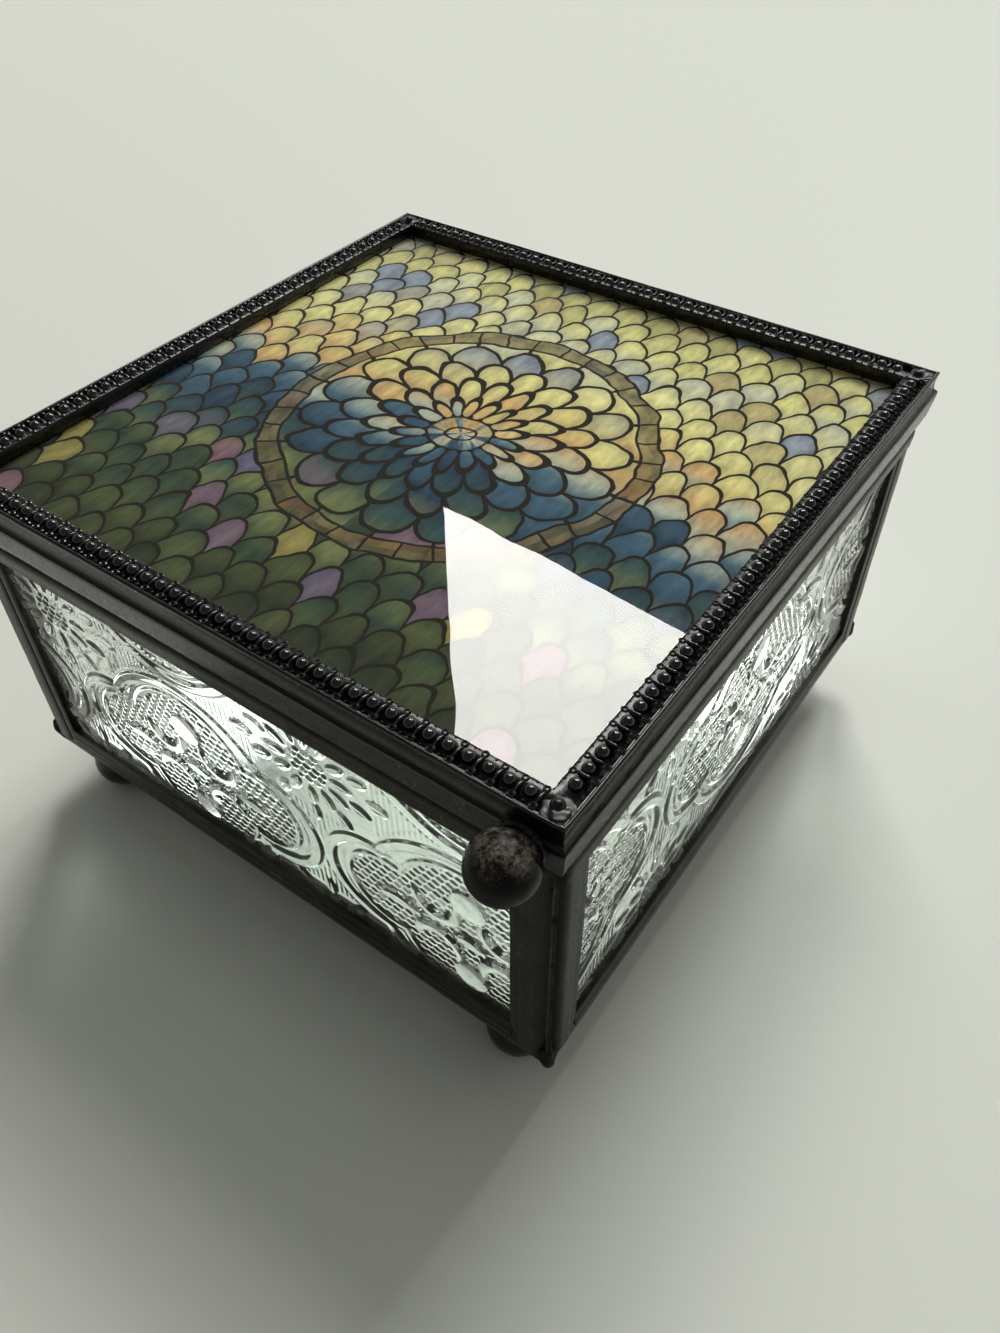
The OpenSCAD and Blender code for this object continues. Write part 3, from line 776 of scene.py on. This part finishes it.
def groove_solder(index):
    """Solder low in the groove of one corner, uneven, with a drip run down over the base."""
    turn = math.radians(SEAM_TURN)
    reach = ROLL_R - 0.03
    lip = (FACE - ROLL_IN + reach * math.cos(turn), FACE - ROLL_R + reach * math.sin(turn))
    centre = FACE - ROLL_IN + reach
    # Half of the front of its section, from the panel's roll to the middle, and then its mirror image
    half = [(lip[0] - 0.3, lip[1] - 0.1), lip,
            ((lip[0] + centre) / 2 + 0.05, (lip[1] + centre) / 2 + 0.02)]
    plan = half + [(centre + 0.02, centre + 0.02)] + [(out, across) for across, out in half[::-1]]
    plan.append((centre - 0.9, centre - 0.9))
    height = PANEL_TOP - PANEL_Z - 0.3
    top_lump = height - 4.2
    shape = upright(plan, height, 70)
    out = Vector((1, -1, 0)).normalized()
    for vert in shape.verts:
        off = vert.co.dot(out) - centre * math.sqrt(2)
        if off < -0.7:
            continue
        level = vert.co.z
        push = 0.16 * field.noise(Vector((index * 9.0, 0.2, level * 0.45)))
        push += 0.07 * field.noise(Vector((vert.co.x * 1.4, index * 5.0, level * 1.7)))
        push += DRIPS[index] * math.exp(-((level - 1.6) / 2.2) ** 2)
        push += 0.25 * math.exp(-((top_lump - level) / 1.4) ** 2)
        vert.co += out * push
    # Two drops: one at the foot of the groove and one under it, over the base's corner
    for across, up, size, tall in ((FACE - 0.75, 0.2, 1.0, 1.9), (FACE - 1.1, -1.7, 0.75, 1.1)):
        drop = bmesh.ops.create_icosphere(shape, subdivisions=4, radius=1.0)["verts"]
        for vert in drop:
            lump = 1 + 0.3 * field.noise(vert.co * 1.3 + Vector((index * 4.0, up, 0)))
            scale = size * lump * (0.75 + 0.5 * DRIPS[index])
            vert.co = Vector((across - 0.1 + vert.co.x * scale, 0.1 - across + vert.co.y * scale,
                              up + vert.co.z * tall * lump))
    place = side_matrix(SIDES[index]) @ Matrix.Translation((0, 0, PANEL_Z))
    shown_piece(shape, "groove_solder_" + SEAMS[index], "box", seam_metal, place,
                ["corner_seam_" + SEAMS[index]], 50.0)


# The base's came: how wide it is, how round its edges are and how thick its walls are
BASE_CAME_W = 4.2
BASE_EDGE_R = 0.9
BASE_WALL = 0.35


def base_strip(side, seed):
    """The came round the mirror base, with soft edges."""
    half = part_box("base_came_front")[1].x / MM
    inside = half - BASE_CAME_W
    web = half - BASE_EDGE_R
    height = PANEL_Z - BASE_Z
    section = [(inside, height)] + arc(web, height - BASE_EDGE_R, BASE_EDGE_R, 90, 0, 6)
    section += arc(web, BASE_EDGE_R, BASE_EDGE_R, 0, -90, 6)
    section += [(inside, 0), (inside, BASE_WALL), (web, BASE_WALL), (web, height - BASE_WALL),
                (inside, height - BASE_WALL)]
    shape = swept(section, 80)
    waver(shape, seed, 0.06, half - 1.2)
    place = side_matrix(side) @ Matrix.Translation((0, 0, BASE_Z))
    shown_piece(shape, side + "_base_strip", "box", came_metal, place, ["base_came_" + side])


# The flat that a ball foot stands on: its radius, and where it ends on the ball, in degrees
FOOT_FLAT_R = 1.2
FOOT_FLAT_TURN = -75.4


def ball_foot(name):
    """A ball foot with a small flat under it and a collar of solder over it."""
    foot_low, foot_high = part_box(name)
    radius = (foot_high.x - foot_low.x) / 2 / MM
    height = foot_high.z / MM
    up = math.sqrt(radius ** 2 - FOOT_FLAT_R ** 2)
    profile = [(0, 0)] + arc(0, up, radius, FOOT_FLAT_TURN, 50, 22)
    profile += [(2.95, height - 0.5), (2.75, height - 0.2), (3.1, height), (0, height)]
    shape = bmesh.new()
    line = [shape.verts.new((out, 0, level)) for out, level in profile]
    edges = [shape.edges.new(ends) for ends in zip(line, line[1:])]
    bmesh.ops.spin(shape, geom=line + edges, cent=(0, 0, 0), axis=(0, 0, 1), dvec=(0, 0, 0),
                   angle=2 * math.pi, steps=48, use_merge=True, use_duplicate=False)
    bmesh.ops.remove_doubles(shape, verts=shape.verts, dist=0.0005)
    centre = Vector(((foot_low.x + foot_high.x) / 2, (foot_low.y + foot_high.y) / 2, 0)) / MM
    for vert in shape.verts:
        if vert.co.z > height - 1.2:
            swell = 1 + 0.12 * field.noise(vert.co * 0.8 + centre)
        else:
            swell = 1 - 0.008 * (1 + field.noise(vert.co * 0.6 + centre))
        vert.co.x *= swell
        vert.co.y *= swell
    place = Matrix.Scale(MM, 4) @ Matrix.Translation(centre)
    shown_piece(shape, name.replace("foot", "ball_foot"), "box", foot_metal, place, [name],
                50.0)


for number, side in enumerate(SIDES):
    panel_cames(side, number * 23.0)
    groove_solder(number)
    base_strip(side, number * 31.0 + 5)
for corner in ("front_left", "front_right", "back_left", "back_right"):
    ball_foot("foot_" + corner)

# ---- The lid's beaded came, in millimetres, with heights above the lid's underside ----
BEAD_PITCH = 2.5
BEADS = 37
BEAD_ROW = LID_HALF - 2.85
BEAD_R = 0.86
BEAD_UP = 7.62
BAR_X = BEAD_PITCH / 2
LID_TOP = 7.82
# The frame's opening, and the channel that holds the panes and the sheet
LID_OPEN = 46.6
LID_SLOT_END = 49.65
LID_SLOT_LOW = 2.1
LID_SLOT_HIGH = 6.5
# The solder on a corner: where it lies on the mitre, how wide and thick it is, and its last bead
DAB_AT = (48.6, -48.6, 7.72)
DAB_R = 1.7
DAB_THICK = 0.22
LAST_BEAD_AT = (48.15, -48.15, 7.66)


def lid_section():
    """Section of the lid's came: (distance from the middle, height above the lid's underside)."""
    band = [(LID_OPEN, 0.0), (50.0, 0.0), (50.35, 0.1), (50.47, 0.35), (50.6, 1.2), (50.76, 2.4),
            (50.9, 3.5), (50.98, 4.2), (50.99, 4.5), (50.93, 4.72), (50.74, 4.86)]
    cove = [(50.5, 5.05), (50.36, 5.5), (50.32, 6.1), (50.36, 6.7), (50.46, 7.2)]
    lip = arc(50.28, 7.7, 0.27, -10, 190, 8)
    top = [(49.9, LID_TOP - 0.06), (48.15, LID_TOP - 0.1), (46.95, LID_TOP), (46.68, LID_TOP - 0.1),
           (LID_OPEN, LID_TOP - 0.35), (LID_OPEN, LID_SLOT_HIGH), (LID_SLOT_END, LID_SLOT_HIGH),
           (LID_SLOT_END, LID_SLOT_LOW), (LID_OPEN, LID_SLOT_LOW)]
    return band + cove + lip + top


def bead_unit():
    """One repeat of the trim: a bead, an arched bar with an eyelet at each end, and seeds."""
    shape = bmesh.new()
    drop = Matrix.Translation((0, 0, BEAD_UP - LID_TOP))
    bmesh.ops.create_icosphere(shape, subdivisions=2, radius=BEAD_R, matrix=drop)
    for y, radius in ((-1.5, 0.24), (1.22, 0.21)):
        place = Matrix.Translation((0, y, 0.0))
        bmesh.ops.create_icosphere(shape, subdivisions=1, radius=radius, matrix=place)
    stretch = Matrix.Translation((BAR_X, -0.12, 0.02)) @ Matrix.Diagonal((0.22, 1.05, 0.36, 1))
    bar = bmesh.ops.create_icosphere(shape, subdivisions=2, radius=1.0, matrix=stretch)["verts"]
    for vert in bar:
        vert.co.x += 0.22 * (vert.co.y + 0.12) ** 2
    for y, radius, wire in ((-1.42, 0.36, 0.17), (1.08, 0.32, 0.15)):
        section = Matrix.Translation((BAR_X + radius, y, 0.06)) @ Matrix.Rotation(math.pi / 2, 4, "X")
        circle = bmesh.ops.create_circle(shape, segments=5, radius=wire, matrix=section)["verts"]
        edges = list({edge for vert in circle for edge in vert.link_edges})
        bmesh.ops.spin(shape, geom=circle + edges, cent=(BAR_X, y, 0.06), axis=(0, 0, 1),
                       dvec=(0, 0, 0), angle=2 * math.pi, steps=10, use_merge=True, use_duplicate=False)
    low_part = bmesh.ops.bisect_plane(shape, geom=shape.verts[:] + shape.edges[:] + shape.faces[:],
                                      plane_co=(0, 0, -0.2), plane_no=(0, 0, -1), clear_outer=True)
    cut = [item for item in low_part["geom_cut"] if isinstance(item, bmesh.types.BMEdge)]
    bmesh.ops.holes_fill(shape, edges=cut)
    bmesh.ops.remove_doubles(shape, verts=shape.verts, dist=0.0005)
    bmesh.ops.recalc_face_normals(shape, faces=shape.faces)
    mesh = bpy.data.meshes.new("bead_unit")
    shape.to_mesh(mesh)
    shape.free()
    return mesh


def beaded_came(side, unit, dice_box):
    """One side of the lid's frame: the band, whose lip wavers most near its mitres, and its trim."""
    shape = swept(lid_section(), 90)
    seed = SIDES.index(side) * 17.0
    for vert in shape.verts:
        out = -vert.co.y
        to_mitre = out - abs(vert.co.x)
        wander = 0.03 + 0.16 * math.exp(-max(to_mitre, 0) / 2.2) * (out > 50)
        slow = Vector((vert.co.x * 0.22 + seed, out * 0.3, vert.co.z * 0.3))
        quick = Vector((vert.co.x * 0.9 + seed, out * 0.9, vert.co.z * 0.9))
        if out > 49.8:
            vert.co.y += 0.05 * field.noise(slow) + wander * abs(field.noise(quick))
            vert.co.z += 0.03 * field.noise(slow + Vector((0, 9, 0))) + (wander - 0.03) * field.noise(quick)
        if out < 49.95 and vert.co.z > 7.5:
            vert.co.z += 0.05 * field.noise(quick * 1.6)
    place = side_matrix(side) @ Matrix.Translation((0, 0, LID_Z))
    shown_piece(shape, side + "_lid_band", "lid", band_metal, place, ["lid_came_" + side])
    shape = bmesh.new()
    for i in range(BEADS):
        start = len(shape.verts)
        shape.from_mesh(unit)
        shape.verts.ensure_lookup_table()
        fresh = shape.verts[start:]
        x = (i - (BEADS - 1) / 2) * BEAD_PITCH + dice_box.uniform(-0.05, 0.05)
        size = 1 + dice_box.uniform(-0.04, 0.04)
        lean = Matrix.Rotation(dice_box.uniform(-0.06, 0.06), 4, "Z")
        place = Matrix.Translation((x, -BEAD_ROW + dice_box.uniform(-0.03, 0.03), LID_TOP - 0.08))
        bmesh.ops.transform(shape, matrix=place @ lean @ Matrix.Scale(size, 4), verts=fresh)
    place = side_matrix(side) @ Matrix.Translation((0, 0, LID_Z))
    shown_piece(shape, side + "_bead_trim", "lid", bead_metal, place)


unit = bead_unit()
dice_box = random.Random(11)
for side in SIDES:
    beaded_came(side, unit, dice_box)
bpy.data.meshes.remove(unit)


def corner_dabs():
    """Solder run over each corner of the lid's came, round one last bead."""
    whole = bmesh.new()
    for index, turn in enumerate(TURNS.values()):
        shape = bmesh.new()
        bmesh.ops.create_icosphere(shape, subdivisions=4, radius=1.0)
        for vert in shape.verts:
            push = 1 + 0.35 * field.noise(vert.co * 1.7 + Vector((index * 7.0, 0, 0)))
            lumps = 0.5 * field.noise(vert.co * 2.6 + Vector((0, index * 3.0, 0)))
            vert.co = Vector((vert.co.x * DAB_R * push, vert.co.y * DAB_R * push,
                              vert.co.z * DAB_THICK * (push + lumps)))
        shape.transform(Matrix.Translation(DAB_AT))
        bead = Matrix.Translation(LAST_BEAD_AT)
        bmesh.ops.create_icosphere(shape, subdivisions=3, radius=BEAD_R, matrix=bead)
        shape.transform(Matrix.Rotation(math.radians(turn), 4, "Z"))
        part = bpy.data.meshes.new("dab")
        shape.to_mesh(part)
        shape.free()
        whole.from_mesh(part)
        bpy.data.meshes.remove(part)
    place = side_matrix("front") @ Matrix.Translation((0, 0, LID_Z))
    shown_piece(whole, "lid_corner_solder", "lid", dab_metal, place)


corner_dabs()


# The printed sheet's thickness and cockling, and how far it is pressed up to the cover glass
SHEET_THICK = 0.25
SHEET_COCKLE = 0.01
SHEET_UP = 0.03


def printed_sheet():
    """A thin sheet pressed into contact with the cover glass, very slightly cockled."""
    shape = bmesh.new()
    half = (print_high.x - 0.0001) / MM
    bmesh.ops.create_grid(shape, x_segments=48, y_segments=48, size=half)
    for vert in shape.verts:
        vert.co.z = SHEET_COCKLE * field.noise(vert.co * 0.06)
    bmesh.ops.solidify(shape, geom=shape.faces[:], thickness=SHEET_THICK)
    place = side_matrix("front") @ Matrix.Translation((0, 0, print_high.z / MM + SHEET_UP))
    shown_piece(shape, "printed_sheet", "lid", paper, place, ["lid_print"])


printed_sheet()


# How far inside the lid's edge the lift ball ends, and its collar of solder: how far in front of
# that end it lies, its radius and the radius of its roll
BALL_SUNK = 0.6
COLLAR_OUT = 0.45
COLLAR_R = 2.35
COLLAR_ROLL_R = 0.55


def round_ball():
    """The lift ball: slightly out of true, with a collar of solder where it meets the band."""
    ball_low, ball_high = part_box("lift_ball")
    radius = (ball_high.x - ball_low.x) / 2 / MM
    centre = Vector(((ball_low.x + ball_high.x) / 2 / MM, ball_low.y / MM + radius,
                     (ball_low.z + ball_high.z) / 2 / MM))
    shape = bmesh.new()
    bmesh.ops.create_icosphere(shape, subdivisions=5, radius=radius)
    for vert in shape.verts:
        vert.co *= 1 - 0.006 * (1 + field.noise(vert.co * 0.8))
    shape.transform(Matrix.Translation(centre))
    face = shape.faces[:] + shape.edges[:] + shape.verts[:]
    band = CENTRE_Y - LID_HALF + BALL_SUNK
    bmesh.ops.bisect_plane(shape, geom=face, plane_co=(0, band, 0), plane_no=(0, 1, 0), clear_outer=True)
    bmesh.ops.holes_fill(shape, edges=[edge for edge in shape.edges if edge.is_boundary])
    collar = bmesh.ops.create_circle(
        shape, segments=8, radius=COLLAR_ROLL_R,
        matrix=Matrix.Translation(centre + Vector((0, band - COLLAR_OUT - centre.y, COLLAR_R)))
        @ Matrix.Rotation(math.pi / 2, 4, "Y"))["verts"]
    edges = list({edge for vert in collar for edge in vert.link_edges})
    bmesh.ops.spin(shape, geom=collar + edges, cent=centre, axis=(0, 1, 0), dvec=(0, 0, 0),
                   angle=2 * math.pi, steps=48, use_merge=True, use_duplicate=False)
    bmesh.ops.remove_doubles(shape, verts=shape.verts, dist=0.0005)
    shown_piece(shape, "patinated_ball", "lid", ball_metal, Matrix.Scale(MM, 4),
                ["lift_ball"])


round_ball()

# ---- Carried-over CAD nodes ----
FINISHES = {"came": came_metal, "lid_came": band_metal, "solder": solder_metal, "ball": ball_metal,
            "hinge": hinge_metal, "mirror": mirror, "print": paper, "foot": foot_metal,
            "clear_glass": cover_glass}
for part in frame["record"]["subparts"]:
    node = frame["nodes"][part["node"]]
    for place in node.material_slots:
        place.material = backing if part["node"] == "lid_backing" else FINISHES[part["material_slot"]]

# ---- Table, lights and camera, in metres ----
TABLE_HALF = 3.0


def table():
    """The pale table that the box stands on."""
    shape = bmesh.new()
    bmesh.ops.create_grid(shape, x_segments=1, y_segments=1, size=TABLE_HALF)
    mesh = bpy.data.meshes.new("table")
    shape.to_mesh(mesh)
    shape.free()
    floor = bpy.data.objects.new("table", mesh)
    bpy.context.scene.collection.objects.link(floor)
    material, _, shader = new_material("pale table", Roughness=0.55)
    shader.inputs["Base Color"].default_value = (0.76, 0.77, 0.7, 1)
    mesh.materials.append(material)


def window(name, place, aim, size, power, colour):
    """A soft lamp as large as a window."""
    light = bpy.data.lights.new(name, "AREA")
    light.shape = "RECTANGLE"
    light.size = size[0]
    light.size_y = size[1]
    light.energy = power
    light.color = colour
    lamp = bpy.data.objects.new(name, light)
    bpy.context.scene.collection.objects.link(lamp)
    lamp.location = place
    lamp.rotation_euler = (Vector(aim) - Vector(place)).to_track_quat("-Z", "Y").to_euler()


def room():
    """A room that is pale towards the windows and dim behind the camera; plain pale when seen.

    Its light is stronger past the panes, and stronger still by way of the mirror, by amounts
    that were set so that the panes look as bright as they should.
    """
    world = bpy.data.worlds.new("room")
    bpy.context.scene.world = world
    world.use_nodes = True
    tree = world.node_tree
    back = tree.nodes["Background"]
    back.inputs["Color"].default_value = (0.93, 0.96, 0.92, 1)
    place = tree.nodes.new("ShaderNodeTexCoord")
    facing = axes(tree, place.outputs["Generated"])
    path = tree.nodes.new("ShaderNodeLightPath")
    away = sums(tree, "MULTIPLY_ADD", facing["X"], 0.15, facing["Y"])
    away = sums(tree, "MULTIPLY_ADD", facing["Z"], 0.3, away)
    lights = spread(tree, away, -0.8, 0.9, 0.03, 0.46)
    wall = spread(tree, away, -0.6, 0.5, 0.3, 0.85)
    overhead = spread(tree, facing["Z"], 0.15, 0.5, 0.0, 1.0)
    past_panes = sums(tree, "GREATER_THAN", path.outputs["Transmission Depth"], 2.5)
    mirrored = sums(tree, "MULTIPLY", sums(tree, "GREATER_THAN", path.outputs["Diffuse Depth"], 0.5),
                    sums(tree, "GREATER_THAN", path.outputs["Glossy Depth"], 0.5))
    beyond = sums(tree, "MULTIPLY_ADD", mirrored, 10.0, spread(tree, away, -0.6, 0.5, 1.7, 3.8))
    sky = between(tree, past_panes, lights, beyond)
    through = path.outputs["Is Transmission Ray"]
    sky = between(tree, through, 0.14, sky)
    gloss = sums(tree, "MAXIMUM", path.outputs["Is Glossy Ray"], through)
    strength = between(tree, gloss, lights, between(tree, overhead, wall, sky))
    strength = between(tree, path.outputs["Is Camera Ray"], strength, 0.8)
    tree.links.new(strength, back.inputs["Strength"])


table()
window("window", (-0.659, 1.135, 1.835 + LIFT), (-0.755, 0.039, 1.835 + LIFT), (0.62, 1.28), 38.0,
       (1.0, 0.99, 0.95))
window("far_window", (-0.06, 1.57, 1.55), (0.0, 0.0, 0.0), (0.45, 0.9), 17.0, (0.97, 1.0, 0.97))
room()

camera_data = bpy.data.cameras.new("camera")
camera_data.sensor_width = 36.0
camera_data.lens = 28.575
camera_data.clip_start = 0.005
camera = bpy.data.objects.new("camera", camera_data)
bpy.context.scene.collection.objects.link(camera)
# The camera's place and angles, as they were fitted
CAMERA_AT = (0.079957, -0.098295, 0.137683 + LIFT)
YAW, PITCH, ROLL = 0.629494, 0.793499, -0.011905
looking = Vector((-math.sin(YAW) * math.cos(PITCH), math.cos(YAW) * math.cos(PITCH), -math.sin(PITCH)))
level = Vector((math.cos(YAW), math.sin(YAW), 0))
upward = level.cross(looking)
across = level * math.cos(ROLL) + upward * math.sin(ROLL)
overhead = upward * math.cos(ROLL) - level * math.sin(ROLL)
turn = Matrix((across, overhead, -looking)).transposed().to_4x4()
camera.matrix_world = Matrix.Translation(CAMERA_AT) @ turn
bpy.context.scene.camera = camera
bpy.context.scene.view_settings.view_transform = "Standard"
